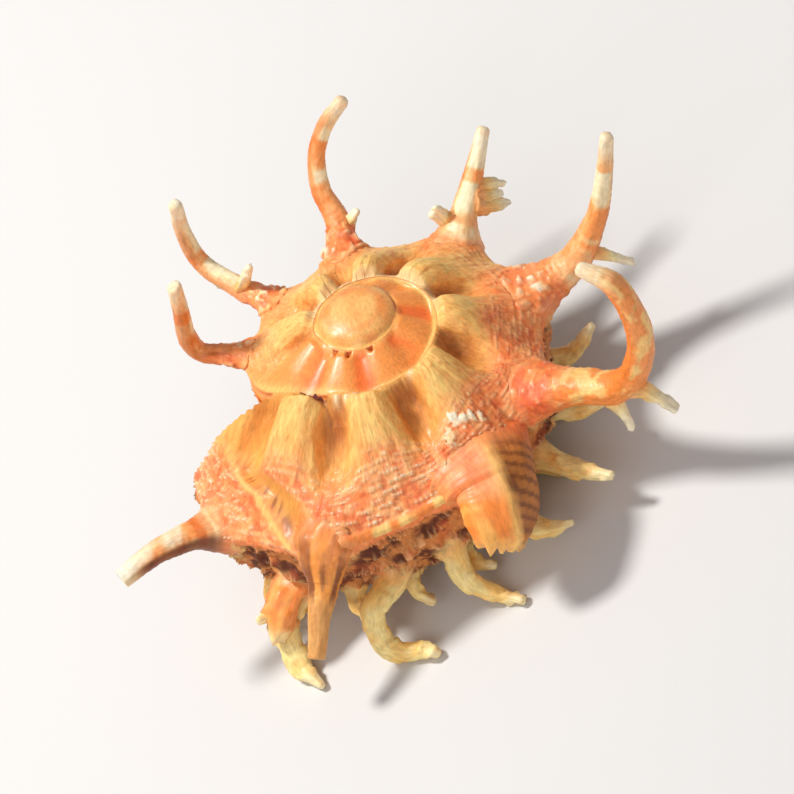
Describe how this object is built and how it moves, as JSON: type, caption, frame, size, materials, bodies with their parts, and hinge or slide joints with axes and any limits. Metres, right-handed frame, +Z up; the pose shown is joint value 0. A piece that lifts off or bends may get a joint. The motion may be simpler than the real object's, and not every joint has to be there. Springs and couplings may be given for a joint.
{
  "type": "spiny delphinula seashell",
  "caption": "Coiled seashell with long curved spines on its shoulder, rows of shorter spines below, an open aperture and an open umbilicus.",
  "frame": {"origin": "bottom centre of the shell's box, on the surface it rests on", "axes": "+Z up, with the shell resting; +X from the lip's side across the coil; the coil axis leans 11.3 degrees from +Z towards +X"},
  "size_m": [0.0726, 0.0546, 0.0348],
  "materials": {
    "shell": "satin"
  },
  "bodies": {
    "root": {"shell": "shell"}
  },
  "joints": []
}
